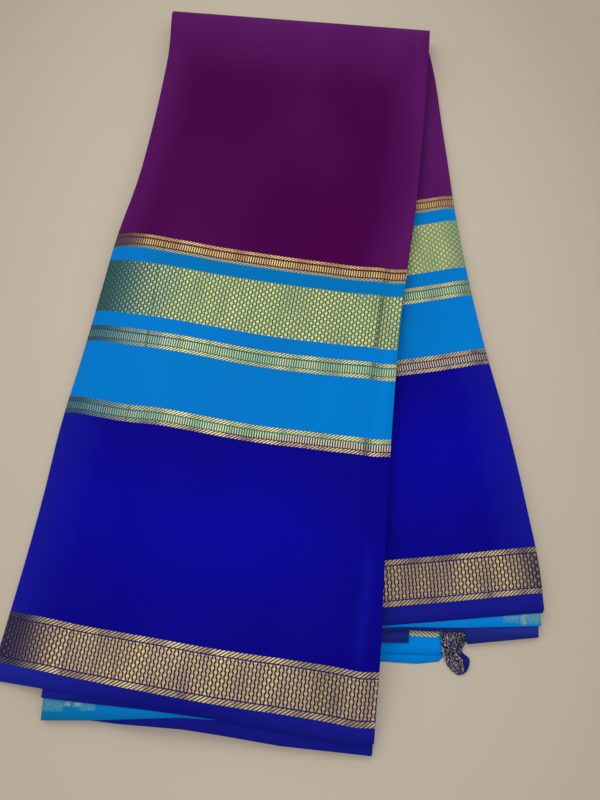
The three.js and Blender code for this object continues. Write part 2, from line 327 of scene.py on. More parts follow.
class Path:
    """One row's way through all the pleats. Odd layers run from right to left."""

    def __init__(self):
        points = []
        for layer in range(1, LAYERS + 1):
            points += [(kind, value, layer, 0) for kind, value in layer_points(layer)]
            if layer < LAYERS:
                shares = [step / SIDE_FOLD_STEPS for step in range(1, SIDE_FOLD_STEPS)]
                points += [("fold", layer, layer + share, math.pi * share) for share in shares]
        kinds, *numbers = zip(*points)
        self.kinds = np.array(kinds)
        self.values, self.layers, self.angles = np.array(numbers, float)
        self.whole = np.clip(np.floor(self.layers), 1, LAYERS).astype(int)
        self.odd = self.whole % 2 == 1

    def across(self, width, insets):
        """Distances across the row, with the direction out of the sheet and the rise from the layer."""
        radius = PITCH / 2
        bend = np.array([0 if e in (0, LAYERS) else radius + SHEET / 2 for e in range(LAYERS + 1)])
        edge = width / 2 - insets - bend
        left_of = np.where(self.odd, self.whole, self.whole - 1)
        right_of = np.where(self.odd, self.whole - 1, self.whole)
        left, right = -edge[left_of], edge[right_of]
        first, last = (COARSE[1][0] - 0.5) * width, (COARSE[1][-1] - 0.5) * width
        place = (self.values - 0.5) * width
        place = np.where(self.kinds == "left", left + (first - left) * self.values, place)
        place = np.where(self.kinds == "right", last + (right - last) * self.values, place)
        folds = self.kinds == "fold"
        sign = np.where(self.odd, -1.0, 1.0)
        ends = np.where(folds, sign * edge[np.clip(self.whole, 0, LAYERS)], place)
        place = np.where(folds, ends + sign * radius * np.sin(self.angles), place)
        out_across = sign * np.sin(self.angles)
        out_height = np.cos(self.angles)
        rise = radius * (np.cos(self.angles) - 1)
        facing = np.where(self.odd, 1.0, -1.0)
        return place, out_across * facing, out_height * facing, rise


path = Path()


def insets_of(half, down):
    """How far in from the outline each free edge and side fold lies in a row."""
    share = np.clip(down / half.length, 0, 1) ** 2
    result = []
    for index in range(LAYERS + 1):
        layer = max(index, 1)
        left = index % 2 == 1
        at_fold = FOLD_INSETS[0] + FOLD_INSETS[1] * (0.5 + 0.5 * math.sin(index * 2.4))
        if index in (0, 1):
            at_fold = 0
        at_hem = half.group(layer)[1 if left else 2] + 0.7 * (1 + math.sin(index * 1.9 + 1))
        if index in (0, 1) and half is front or index >= LAYERS - 1 and half is back:
            at_hem = half.group(layer)[1 if left else 2]
        result.append(at_fold + (at_hem - at_fold) * share)
    return np.array(result)


def hem_reach(half, share):
    """How far down each path point reaches at the hem, blended between layers round a side fold."""
    upper = np.array([half.hem(k, s) for k, s in zip(np.floor(path.layers), share)])
    lower = np.array([half.hem(k, s) for k, s in zip(np.ceil(path.layers), share)])
    part = path.layers - np.floor(path.layers)
    return upper + (lower - upper) * part


# Where the lowest layers end, that lie on the table: what reaches past them droops
BASE_REACH = {front: {0.13: 570, 0.53: 569, 1: 567}, back: {0.68: 536, 0.71: 517, 1: 516}}
DROOP = 0.02
DROOP_FLOOR, FLOOR_GAP = 0.3, 0.01  # drooping cloth stops at the first height, all cloth at the second


def height_over_table(half, down, places, across, width, height, insets):
    """Heights above the table of points of a row, from their heights over the half's inner face."""
    share = across / width + 0.5
    local = height if half is front else STACK - height
    soft = local / STACK * relief(half, places)
    keeps = 1 - (1 - edge_drop(share, width)) * smoothstep(down, 0, 40)
    rise = local * keeps + soft
    if half is back:
        return rise
    lower_edge = insets[SAG_LAYERS + 1] - width / 2
    sag = SAG * smoothstep(lower_edge - SAG_CLEARANCE - across, 0, SAG_WIDTH)
    return front_lift(places) + rise - np.where(path.layers <= SAG_LAYERS, sag, 0)


def profile(half, down, width):
    """Heights at the coarse stations, lowered where a straight line between them would cut the curve."""
    shares = np.array([0, 0.05, 0.1, 0.15, *COARSE[1], 1.0])
    across = (shares - 0.5) * width

    def smooth(x):
        places = half.plan(down, x, np.full_like(x, down))
        lift = front_lift(places) if half is front else np.zeros_like(x)
        return lift + relief(half, places)

    gaps = np.diff(across)
    step = np.maximum(np.append(gaps, gaps[-1]), np.insert(gaps, 0, gaps[0])) / 2
    bow = (smooth(across - step) + smooth(across + step)) / 2 - smooth(across)
    return across, 1.2 * np.maximum(bow, 0)


def row_points(half, down):
    """Both faces of the sheet along a row of a half, with the cloth's own coordinates."""
    shift, width, turn = half.row(down)
    insets = insets_of(half, down)
    across, out_across, out_height, rise = path.across(width, insets)
    share = across / width + 0.5
    hem = hem_reach(half, share)
    stretch = smoothstep(down, half.length - LAST_STRETCH, half.length)
    reach = down + (hem - half.length) * stretch
    stations, bow = profile(half, down, width)
    base = np.interp(share, list(BASE_REACH[half]), list(BASE_REACH[half].values()))
    droop = DROOP * np.maximum(reach - base, 0) ** 2
    layer_height = SHEET / 2 + (LAYERS - path.whole) * PITCH + rise
    faces = []
    for offset in (SHEET / 2, -SHEET / 2):
        x = across + offset * out_across
        height = layer_height + offset * out_height
        places = half.plan(down, x, reach)
        flat = half.plan(down, x, np.full_like(x, down))
        z = height_over_table(half, down, flat, x, width, height, insets)
        lowered = np.interp(x, stations, bow)
        covered = path.layers > 1 if half is front else path.layers < LAYERS
        z = z - np.where(covered, lowered, 0)
        z = z - np.minimum(droop, np.maximum(z - DROOP_FLOOR, 0))
        faces.append(np.column_stack([places, np.maximum(z, FLOOR_GAP)]))
    skew = width / 2 * math.sin(math.radians(turn)) if half is back else 0
    up = hem - reach + skew
    return np.stack(faces, axis=1), up, share, width


def fold_points(angle):
    """The same round the fold over the middle."""
    insets = insets_of(front, 0)
    across, out_across, out_height, rise = path.across(FOLD["width"], insets)
    side, down = directions(FOLD["heading"])
    layer_height = SHEET / 2 + (LAYERS - path.whole) * PITCH + rise
    faces = []
    for offset in (SHEET / 2, -SHEET / 2):
        x = across + offset * out_across
        radius = HALF_GAP / 2 + layer_height + offset * out_height
        outward = -radius * math.sin(angle)
        places = np.multiply.outer(x, side) + np.multiply.outer(outward, down)
        places += [FOLD["x"], FOLD["y"]]
        z = STACK + HALF_GAP / 2 + radius * math.cos(angle)
        faces.append(np.column_stack([places, z]))
    return np.stack(faces, axis=1), HALF_GAP / 2 + layer_height, across / FOLD["width"] + 0.5


def row_downs(half, body_rows, last_rows):
    """How far down each row of a half lies: the rows are closer together in its last stretch."""
    bend = half.length - LAST_STRETCH
    body = np.linspace(half.table[0, 0], bend, body_rows)
    return [*body, *np.linspace(bend, half.length, last_rows + 1)[1:]]


def cloth_rows():
    """All rows from the front hem over the fold to the back hem, with the cloth's own coordinates."""
    rows = [
        (*row_points(front, down), 0)
        for down in row_downs(front, FRONT_BODY_ROWS, FRONT_LAST_ROWS)[::-1]
    ]
    before = rows[-1][1]
    for step in range(1, TOP_FOLD_STEPS):
        angle = math.pi * step / TOP_FOLD_STEPS
        points, radius, share = fold_points(angle)
        up = before + radius * min(angle, math.pi - angle)
        rows.append((points, up, share, FOLD["width"], int(angle >= math.pi / 2)))
    for down in row_downs(back, BACK_BODY_ROWS, BACK_LAST_ROWS):
        rows.append((*row_points(back, down), 1))
    return [np.array(values) for values in zip(*rows)]


def sheet_faces(rows, count):
    """Quads of a closed sheet from its grid of points with two faces: top, underside, sides, hems."""
    at = np.arange(rows * count * 2).reshape(rows, count, 2)

    def quads(*corners):
        return np.column_stack([c.ravel() for c in corners])

    top = quads(at[:-1, :-1, 0], at[:-1, 1:, 0], at[1:, 1:, 0], at[1:, :-1, 0])
    under = quads(at[:-1, :-1, 1], at[1:, :-1, 1], at[1:, 1:, 1], at[:-1, 1:, 1])
    a, b = at[:, 0], at[:, -1]
    side_a = quads(a[:-1, 1], a[:-1, 0], a[1:, 0], a[1:, 1])
    side_b = quads(b[:-1, 0], b[:-1, 1], b[1:, 1], b[1:, 0])
    a, b = at[0], at[-1]
    hem_a = quads(a[:-1, 0], a[:-1, 1], a[1:, 1], a[1:, 0])
    hem_b = quads(b[:-1, 1], b[:-1, 0], b[1:, 0], b[1:, 1])
    return np.concatenate([top, under, side_a, side_b, hem_a, hem_b])


def add_object(name, data):
    added = bpy.data.objects.new(name, data)
    scene.collection.objects.link(added)
    return added


def mesh_object(name, points, faces):
    """An object with a smooth shaded mesh, from points in metres."""
    mesh = bpy.data.meshes.new(name)
    mesh.vertices.add(len(points))
    mesh.vertices.foreach_set("co", np.asarray(points, np.float32).ravel())
    mesh.loops.add(faces.size)
    mesh.loops.foreach_set("vertex_index", np.asarray(faces, np.int32).ravel())
    mesh.polygons.add(len(faces))
    mesh.polygons.foreach_set("loop_start", np.arange(0, faces.size, 4, dtype=np.int32))
    mesh.update(calc_edges=True)
    mesh.validate()
    mesh.shade_smooth()
    return add_object(name, mesh)


def store(mesh, name, domain, values):
    attribute = mesh.attributes.new(name, "FLOAT", domain)
    attribute.data.foreach_set("value", values.astype(np.float32))


def make_cloth():
    """The whole cloth as one closed thin sheet, with its own coordinates and border kinds."""
    rows, ups, shares, widths, halves = cloth_rows()
    count = rows.shape[1]
    faces = sheet_faces(len(rows), count)
    points = rows.reshape(-1, 3) + [*PIVOT, 0]
    cloth = mesh_object("sari_cloth", points * MM, faces)
    mesh = cloth.data

    from_middle = (shares - 0.5) * widths[:, None]
    run = np.where(path.odd, -from_middle, from_middle) + (path.whole - 0.5) * PLEAT
    corners = faces.ravel()
    drift = band_drift(ups, shares, halves) * smoothstep(ups, 0, 6)
    levels = (ups - drift).ravel()
    vertex_uv = np.column_stack([np.repeat(run.ravel(), 2), np.repeat(levels, 2)]) * MM
    mesh.uv_layers.new(name="cloth").data.foreach_set("uv", vertex_uv[corners].ravel())

    turn = FRONT_BODY_ROWS + FRONT_LAST_ROWS + TOP_FOLD_STEPS - 1
    layout = texture_layout(rows, faces, turn)
    mesh.uv_layers.new(name="OFBake").data.foreach_set("uv", layout.ravel())

    half_of = np.repeat(halves, count * 2)
    layer_of = np.repeat(np.tile(path.layers, len(rows)), 2)
    kinds = np.zeros((2, 2, LAYERS + 1), int)
    for index, half in enumerate((front, back)):
        for layer in range(1, LAYERS + 1):
            side = 1 - layer % 2
            around = (layer, min(layer + 1, LAYERS))
            longer = max(around, key=lambda k: half.hem(k, side))
            kinds[:, index, layer] = half.group(layer)[4], half.group(longer)[4]
    lowest, highest = layer_of[faces].min(axis=1), layer_of[faces].max(axis=1)
    in_fold = (highest > np.floor(lowest)).astype(int)
    kind = kinds[in_fold, half_of[faces[:, 0]], np.floor(lowest).astype(int)]
    store(mesh, "border_kind", "FACE", kind)
    across = shares * widths[:, None] + BACK_AT * halves[:, None]
    store(mesh, "from_left", "POINT", np.repeat(across.ravel(), 2))
    return cloth


# Boxes of the texture's layout, in shares of the image: left, bottom, right and top
OUTER_BOX = (0.002, 0.624, 0.998, 0.998)
BACK_BOX = (0.002, 0.256, 0.860, 0.622)
UNDER_BOXES = [(0.863, 0.256, 0.929, 0.622), (0.932, 0.256, 0.998, 0.622)]
HIDDEN_BOXES = [(0.002, 0.060, 0.998, 0.097), (0.002, 0.021, 0.998, 0.058)]
FRONT_LEDGES = (3, 7, 13, 19)
BACK_LEDGES = (23, 21, 17, 12, 8, 6, 2)
LEDGE_START, LEDGE_STEP, LEDGE_SIZE = (0.002, 0.100), (0.249, 0.0515), (0.246, 0.0495)
RIM_STEP, RIM_HEIGHT = 0.0048, 0.0038


def texture_layout(rows, faces, turn):
    """Places of all faces in one image, which gives the faces in sight most of it. The back half starts
    at row turn."""
    count = rows.shape[1]
    row, station = np.divmod(faces // 2, count)
    cell, slot = row.min(axis=1), station.min(axis=1)
    each = (len(rows) - 1) * (count - 1)
    number = np.arange(len(faces))
    middle = np.searchsorted(path.layers, 2) // 2
    steps = np.linalg.norm(np.diff(rows[:, middle, 0], axis=0), axis=1)
    along = np.concatenate([[0], np.cumsum(steps)])
    steps = np.linalg.norm(np.diff(rows[len(rows) // 4, :, 0], axis=0), axis=1)
    over = np.concatenate([[0], np.cumsum(steps)])
    result = np.zeros((*faces.shape, 2))

    def lay(which, box, first, last, low, high, upright=False):
        s = (along[row[which]] - along[first]) / (along[last] - along[first])
        t = (over[station[which]] - over[low]) / (over[high] - over[low])
        if upright:
            s, t = t, s
        result[which, :, 0] = box[0] + (box[2] - box[0]) * s
        result[which, :, 1] = box[1] + (box[3] - box[1]) * t

    def span(layer):
        found = np.flatnonzero(path.layers == layer)
        return found[0], found[-1]

    end = len(rows) - 1
    faces_of = [number < each, (number >= each) & (number < 2 * each)]
    for face, box in enumerate(HIDDEN_BOXES):
        lay(faces_of[face], box, 0, end, 0, count - 1, upright=True)
    past_side = span(1)[1] + SIDE_FOLD_STEPS
    before_side = span(LAYERS)[0] - SIDE_FOLD_STEPS
    top_rows, back_rows = cell < turn, cell >= turn
    lay(faces_of[0] & top_rows & (slot < past_side), OUTER_BOX, 0, turn, 0, past_side)
    lay(faces_of[0] & back_rows & (slot < past_side), UNDER_BOXES[0], turn, end, 0, past_side, True)
    last = faces_of[1] & (slot >= before_side)
    lay(last & back_rows, BACK_BOX, turn, end, before_side, count - 1)
    lay(last & top_rows, UNDER_BOXES[1], 0, turn, before_side, count - 1, True)
    ledges = [(k, 1 - k % 2, 0, FRONT_LAST_ROWS) for k in FRONT_LEDGES]
    ledges += [(k, k % 2, end - BACK_LAST_ROWS, end) for k in BACK_LEDGES]
    for i, (layer, face, first, final) in enumerate(ledges):
        left = LEDGE_START[0] + LEDGE_STEP[0] * (i % 4)
        bottom = LEDGE_START[1] + LEDGE_STEP[1] * (i // 4)
        box = (left, bottom, left + LEDGE_SIZE[0], bottom + LEDGE_SIZE[1])
        low, high = span(layer)
        which = faces_of[face] & (slot >= low) & (slot < high) & (cell >= first) & (cell < final)
        lay(which, box, first, final, low, high, True)
    sides, hems = len(rows) - 1, count - 1
    start = 2 * each
    for i, (size, values, index) in enumerate([(sides, along, row)] * 2 + [(hems, over, station)] * 2):
        which = slice(start, start + size)
        result[which, :, 0] = 0.002 + 0.996 * values[index[which]] / values[-1]
        result[which, :, 1] = 0.001 + RIM_STEP * i + RIM_HEIGHT * (faces[which] % 2)
        start += size
    return result


def band_drift(ups, shares, halves):
    """How far up the bands run off their even level at places of the cloth."""
    levels = np.array(list(FRONT_DRIFT), float)
    across = [curve(list(row), list(row.values()), shares) for row in FRONT_DRIFT.values()]
    at = np.interp(ups, levels, np.arange(len(levels)))
    lower = np.minimum(at.astype(int), len(levels) - 2)
    across = np.array(across)
    low = np.take_along_axis(across, lower[None], 0)[0]
    high = np.take_along_axis(across, lower[None] + 1, 0)[0]
    on_front = low + (high - low) * (at - lower)
    on_back = np.interp(ups, list(BACK_DRIFT), list(BACK_DRIFT.values()))
    return np.where(halves[:, None] == 0, on_front, on_back)


def linear(text):
    """A colour from its usual six-figure name, with alpha."""
    values = [int(text[i : i + 2], 16) / 255 for i in (0, 2, 4)]
    result = [v / 12.92 if v <= 0.04045 else ((v + 0.055) / 1.055) ** 2.4 for v in values]
    return (*result, 1.0)


# Places of a Mix node's two values and its result, by the kind of data
MIX_SOCKETS = {"RGBA": (6, 7, 2), "FLOAT": (2, 3, 0)}


class Graph:
    """Builds a material's nodes from short calls, each giving the socket of its result. A value is a
    number, a socket or a colour's six-figure name."""

    def __init__(self, name):
        self.material = bpy.data.materials.new(name)
        self.material.use_nodes = True
        self.tree = self.material.node_tree
        self.shader = self.tree.nodes["Principled BSDF"]

    def node(self, kind, **settings):
        node = self.tree.nodes.new(kind)
        for key, value in settings.items():
            setattr(node, key, value)
        return node

    def join(self, value, socket):
        if isinstance(value, bpy.types.NodeSocket):
            self.tree.links.new(value, socket)
        else:
            socket.default_value = linear(value) if isinstance(value, str) else value

    def math(self, operation, *values, clamp=False):
        node = self.node("ShaderNodeMath", operation=operation, use_clamp=clamp)
        for value, socket in zip(values, node.inputs):
            self.join(value, socket)
        return node.outputs[0]

    def add(self, a, b):
        return self.math("ADD", a, b)

    def minus(self, a, b):
        return self.math("SUBTRACT", a, b)

    def times(self, *values):
        return reduce(lambda a, b: self.math("MULTIPLY", a, b), values)

    def most(self, *values):
        return reduce(lambda a, b: self.math("MAXIMUM", a, b), values)

    def less(self, value, share=1.0):
        """What is left of 1 once a share of the value is taken off."""
        return self.minus(1.0, self.times(value, share))

    def ramp(self, value, low, high):
        """0 up to low, 1 from high on; the other way round where low is above high."""
        node = self.node("ShaderNodeMapRange", clamp=True)
        for socket, number in zip(node.inputs, (value, low, high, 0.0, 1.0)):
            self.join(number, socket)
        return node.outputs[0]

    def below(self, value, height, soft=0.4):
        """1 below a height, with a soft end."""
        return self.ramp(value, height + soft / 2, height - soft / 2)

    def within(self, value, low, high, soft=0.25):
        """1 between low and high, with soft ends."""
        above = self.ramp(value, low - soft / 2, low + soft / 2)
        return self.times(above, self.below(value, high, soft))

    def between_kinds(self, kind, first, last):
        """1 on the borders of the kinds from first to last."""
        return self.within(kind, first - 0.5, last + 0.5, 0.1)

    def phase(self, value, period):
        """Distance from the middle of the repeat that a value lies in, in its own unit."""
        return self.math("ABSOLUTE", self.minus(self.math("FLOORED_MODULO", value, period), period / 2))

    def mix_node(self, kind, share, one, other, **settings):
        """one where share is 0, other where it is 1."""
        node = self.node("ShaderNodeMix", data_type=kind, **settings)
        first, second, result = MIX_SOCKETS[kind]
        self.join(share, node.inputs["Factor"])
        self.join(one, node.inputs[first])
        self.join(other, node.inputs[second])
        return node.outputs[result]

    def mix(self, share, one, other):
        return self.mix_node("RGBA", share, one, other)

    def blend(self, share, one, other):
        return self.mix_node("FLOAT", share, one, other)

    def coats(self, colour, *layers):
        """A colour with others over it in turn, each with the share that it covers."""
        for share, coat in layers:
            colour = self.mix(share, colour, coat)
        return colour

    def noise(self, vector, scale, detail=2.0, rough=0.5):
        node = self.node("ShaderNodeTexNoise")
        self.join(vector, node.inputs["Vector"])
        node.inputs["Scale"].default_value = scale
        node.inputs["Detail"].default_value = detail
        node.inputs["Roughness"].default_value = rough
        return node.outputs[0]

    def vector(self, x, y, z=0.0):
        node = self.node("ShaderNodeCombineXYZ")
        for value, socket in zip((x, y, z), node.inputs):
            self.join(value, socket)
        return node.outputs[0]

    def attribute(self, name):
        return self.node("ShaderNodeAttribute", attribute_name=name).outputs["Fac"]

    def cloth_map(self):
        """Millimetres along the cloth and up from its edge."""
        uv = self.node("ShaderNodeUVMap", uv_map="cloth").outputs[0]
        parts = self.node("ShaderNodeSeparateXYZ")
        self.join(uv, parts.inputs[0])
        return [self.times(socket, 1 / MM) for socket in parts.outputs[:2]]

    def finish(self, colour, metal, height, strength, depth, specular):
        """Gives the shader its colour, its relief, and the gloss of silk and of gold thread."""
        inputs = self.shader.inputs
        self.join(colour, inputs["Base Color"])
        self.join(self.times(metal, 0.3), inputs["Metallic"])
        self.join(self.blend(metal, 0.5, 0.38), inputs["Roughness"])
        bump = self.node("ShaderNodeBump")
        bump.inputs["Strength"].default_value = strength
        bump.inputs["Distance"].default_value = depth
        self.join(height, bump.inputs["Height"])
        self.join(bump.outputs[0], inputs["Normal"])
        inputs["Specular IOR Level"].default_value = specular


# The second purple is the purple with painted sheen, also used for its random cloud tone
PURPLE, PURPLE_SHEEN = "450044", "58185E"
SKY_BLUE, SKY_DEEP = "0079CA", "0073BF"
# The second royal is the royal blue with painted shade
ROYAL_BLUE, ROYAL_SHADED = "090497", "07037A"
HEM_BLUE = "151981"


def silk_material():
    """Silk with its woven borders. The cloth's map gives its own distances, along it and up from its
    edge."""
    g = Graph("silk_with_zari")
    over, up = g.cloth_map()
    kind = g.attribute("border_kind")
    place = g.attribute("from_left")
    is_back = g.ramp(place, BACK_FROM, BACK_FROM + 1)
    is_front = g.less(is_back)
    from_left = g.minus(place, g.times(is_back, BACK_AT))
    is_main = g.below(kind, 0.5, 0.2)

    def at_left(start, full):
        """What the front half's left edge gets: 0 from start on, 1 up to full."""
        return g.times(g.ramp(from_left, start, full), is_front)

    # Plain ground: royal blue border, sky blue border and purple body, with painted sheen and painted
    # shade on the purple and on the royal border
    wobble = g.times(g.minus(g.noise(g.vector(g.times(over, 0.02), 0), 1), 0.5), 1.2)
    level = g.add(up, wobble)
    cloud = g.noise(g.vector(g.times(over, 0.013), g.times(up, 0.005)), 1, 1)
    sides = g.most(g.ramp(from_left, 30, 4), g.ramp(from_left, 190, 218))
    # Painted sheen: the purple is painted paler near the sides, near the fold over the middle and on the
    # back half; pale adds some random cloud tone to it
    purple_sheen = g.most(g.times(sides, 0.7), g.ramp(up, 500, 575), g.times(is_back, 0.9))
    pale = g.add(g.times(purple_sheen, 0.75), g.times(g.ramp(cloud, 0.45, 0.7), 0.25))
    # Painted sheen and shade: the royal border is painted lighter up its middle and darker towards its
    # edges and at the front half's right side, with some random cloud tone
    royal_sheen = g.times(g.ramp(level, 45, 105), g.ramp(level, 178, 120))
    royal_sheen = g.add(g.times(royal_sheen, 0.8), g.times(g.ramp(cloud, 0.35, 0.6), 0.2))
    right_shade = g.times(g.ramp(from_left, 170, 215), is_front)
    royal_sheen = g.times(royal_sheen, g.less(right_shade, 0.7))
    # Painted sheen: lighter royal along the halves' left edges and the back half's right edge
    left_sheen = g.most(g.ramp(from_left, 34, 4), g.times(is_back, sides))
    # Painted highlight: a lighter royal streak near the front half's right edge, in the royal border's
    # middle
    highlight_streak = g.times(g.within(level, 45, 110, 20), is_front)
    royal = g.coats(
        g.mix(royal_sheen, ROYAL_SHADED, ROYAL_BLUE),
        (g.times(left_sheen, 0.85), "15158C"),
        (g.times(g.within(from_left, 217.5, 224, 5), highlight_streak), "0C0B8C"),
    )
    narrow = g.times(g.within(level, B_BAND[1], A_BAND[0]), is_front, g.ramp(from_left, 18, 42))
    sky = g.coats(g.mix(g.ramp(cloud, 0.35, 0.65), SKY_DEEP, SKY_BLUE), (narrow, "0070B2"))
    hem_middle = g.times(g.within(from_left, 85, 150, 50), is_front)
    hem = g.coats(HEM_BLUE, (at_left(66, 14), "1B228C"), (g.times(hem_middle, 0.6), "0C1074"))

    # Other borders show at the hems only
    sky_edge = g.times(g.between_kinds(kind, SKY, SKY), g.below(up, ROYAL_TOP))
    sky_hem = g.mix(g.ramp(from_left, 34, 90), "087098", "0474BC")
    royal_edge = g.times(g.between_kinds(kind, ROYAL, ROYAL), g.ramp(up, 60, 40))
    # Painted shading of a diagonal fold on the back half's royal ledge: lighter above the line, darker
    # below
    fold_line = g.minus(g.add(up, g.times(g.minus(from_left, 157), 0.115)), 7.4)
    back_hem = g.mix(g.ramp(fold_line, -0.5, 0.5), "1C2678", "222E8C")
    ground = g.coats(
        g.mix(pale, PURPLE, PURPLE_SHEEN),
        (g.below(level, SKY_TOP), sky),
        (g.below(level, ROYAL_TOP), royal),
        (g.times(is_main, g.below(level, HEM_TOP, 1)), hem),
        (sky_edge, g.mix(is_back, sky_hem, "0480D0")),
        (royal_edge, g.mix(is_back, HEM_BLUE, back_hem)),
        (g.times(g.between_kinds(kind, STRIPE, PALLU), g.below(up, END_TOP)), "0080D6"),
    )
    stripe = g.times(g.between_kinds(kind, STRIPE, STRIPE), g.within(up, *END_STRIPE))

    # The gold thread gets painted shade where the cloth turns down at its sides, and painted shade in
    # sharp creases
    is_low = g.below(level, LOW_TOP, 1)
    is_high = g.ramp(level, 313, 315)
    # Painted shade on the gold at the front half's left edge, band by band, and at the back half's right
    # edge
    side_shade = g.most(at_left(44, 4), g.times(g.ramp(from_left, 205, 219), is_back, 0.8))
    high_side_shade = g.times(at_left(76, 14), g.within(level, 169, 252))
    edge_side_shade = at_left(34, 10)
    field_side_shade = g.times(at_left(72, 22), g.within(level, 255, 305))
    top_side_shade = g.times(at_left(30, 12), is_high)
    # Painted shade in creases: thin dark lines across the gold near the front half's left and right
    # sides
    bend = g.add(g.times(g.ramp(level, 300, 240), 6.4), g.times(g.ramp(level, 170, 40), -3.6))
    left_bend = g.within(g.minus(from_left, bend), 40.6, 41.8, 0.9)
    left_bend = g.times(left_bend, g.blend(g.within(level, 225, 250), 0.6, 1))
    right_bend = g.minus(from_left, g.times(g.ramp(level, 230, 185), 2.4))
    right_bend = g.most(
        g.within(right_bend, 209.3, 210.4, 0.7),
        g.within(right_bend, 211.2, 212, 0.6),
        g.within(right_bend, 213, 213.5, 0.6),
    )
    crease = g.most(left_bend, g.times(right_bend, g.ramp(level, 120, 160)))
    crease = g.times(crease, is_front)
    # Painted glints: random brighter and darker stretches of the gold thread
    glint = g.noise(g.vector(g.times(over, 0.06), g.times(up, 0.016), kind), 1, 4, 0.62)
    glint = g.ramp(glint, 0.38, 0.62)
    thread = g.noise(g.vector(g.times(over, 1.5), g.times(up, 0.9)), 1, 1)
    d_edge = g.minus(level, g.times(g.ramp(from_left, 105, 170), 5))
    d_low = g.most(g.ramp(d_edge, 178.4, 177.2), g.times(is_back, g.ramp(level, 190, 189)))

    # Ropes: long slanting strokes of gold thread
    low_e, high_e = E_BAND
    ropes = g.most(g.within(level, low_e, low_e + 3.3), g.within(level, high_e - 3.3, high_e))
    ropes = g.most(g.times(ropes, is_main), *[g.within(level, low, high) for low, high in ROPES])
    stroke = g.phase(g.add(over, g.times(level, ROPE_SLANT)), ROPE_STEP)
    stroke = g.ramp(stroke, 0.94, 0.6)
    # In the rope colours the coats that come in near the cloth's sides are painted shade where it turns
    # down
    rope_gap = g.coats(
        g.mix(is_low, "48604A", "34284C"),
        (g.times(d_low, g.less(is_low)), "3C2C50"),
        (is_high, g.mix(is_back, "643638", "7C5244")),
        (high_side_shade, "184460"),
        (g.times(edge_side_shade, is_low), "242046"),
    )
    rope_gold = g.coats(
        g.mix(glint, "AFA878", "EAE09C"),
        (d_low, g.mix(glint, "94805E", "E8D08E")),
        (g.within(level, 313, 318), "A6AE80"),
        (g.times(is_high, g.ramp(level, 318, 319)), g.mix(glint, "B09262", "E6CA80")),
        (g.times(top_side_shade, 0.75), "565058"),
        (g.times(high_side_shade, 0.9), "4A7280"),
        (g.times(edge_side_shade, is_low, 0.85), "4A4A5C"),
    )

    # Bars: short upright strokes side by side
    bars = g.most(
        *[g.within(level, low + 3.5, high - 4.1, 0.4) for low, high in (D_BAND, C_BAND, A_BAND)]
    )
    bar = g.ramp(g.phase(g.times(over, g.blend(is_high, 1, 0.94)), BAR_STEP), 0.54, 0.3)
    # In the bar colours the coats that come in near the cloth's left side are painted shade where it
    # turns down
    bar_gold = g.coats(
        g.mix(glint, "A0AE7C", "D4D69C"),
        (d_low, g.mix(is_back, "D2C49A", "C0B296")),
        (is_high, g.mix(glint, "BA9E62", "EACE84")),
        (g.times(high_side_shade, 0.75), "5A8A90"),
        (g.times(top_side_shade, 0.75), "524A56"),
    )
    bar_gap = g.coats(
        g.mix(d_low, "1C686C", "2A1C54"),
        (is_high, g.mix(is_back, "502430", "6E4240")),
        (high_side_shade, "104E6E"),
        (g.times(top_side_shade, 0.75), "3A2A46"),
    )
    in_bars = g.most(
        g.within(level, D_BAND[0] + 2.8, D_BAND[1] - 3.2),
        g.within(level, *C_BAND),
        g.within(level, A_BAND[0] + 2.4, A_BAND[1] - 2.6),
    )

    # Bead chains: round beads on thin necks, each column half a step up from its neighbours
    field = g.times(g.within(level, low_e + 4.1, high_e - 4.1), is_main)
    field = g.most(field, g.within(level, *B_BAND))
    sideways = g.times(over, g.blend(is_low, COLUMN / UPPER_COLUMN, 1))
    column = g.math("FLOOR", g.math("DIVIDE", sideways, COLUMN))
    even = g.math("FLOORED_MODULO", column, 2)
    upper, low_front, low_back = (BEAD_STEP / step for step in BEAD_STEPS)
    upwards = g.times(level, g.blend(is_low, upper, g.blend(is_back, low_front, low_back)))
    from_bead = g.phase(g.add(upwards, g.times(even, BEAD_STEP / 2)), BEAD_STEP)
    from_middle = g.phase(sideways, COLUMN)
    round_part = g.math("SQRT", g.most(g.minus(1.25, g.times(from_bead, from_bead)), 0))
    half_width = g.most(g.times(round_part, 0.9), 0.5)
    chain = g.ramp(g.minus(half_width, from_middle), -0.12, 0.16)
    bead = g.ramp(g.minus(1, from_bead), -0.18, 0.18)
    # In the bead colours the coats that come in near the cloth's sides are painted shade where it turns
    # down
    dark = g.coats(
        g.mix(is_low, g.mix(is_back, "2E6656", "6A8C68"), "1C1444"),
        (g.times(field_side_shade, 0.85), "0F424C"),
    )
    neck = g.coats(
        g.mix(is_low, "92A06E", "AE9884"),
        (g.times(side_shade, 0.85), dark),
        (g.times(field_side_shade, 0.75), "4C7872"),
    )
    bead_gold = g.coats(
        g.mix(is_low, g.mix(glint, "B2B078", "DED48A"), g.mix(glint, "A89064", "E0C674")),
        (g.times(side_shade, 0.5), g.mix(is_low, "86AAA0", "4C4258")),
        (g.times(field_side_shade, 0.7), "8EA494"),
        (g.times(edge_side_shade, 0.8), g.mix(is_low, "467072", "46425A")),
    )

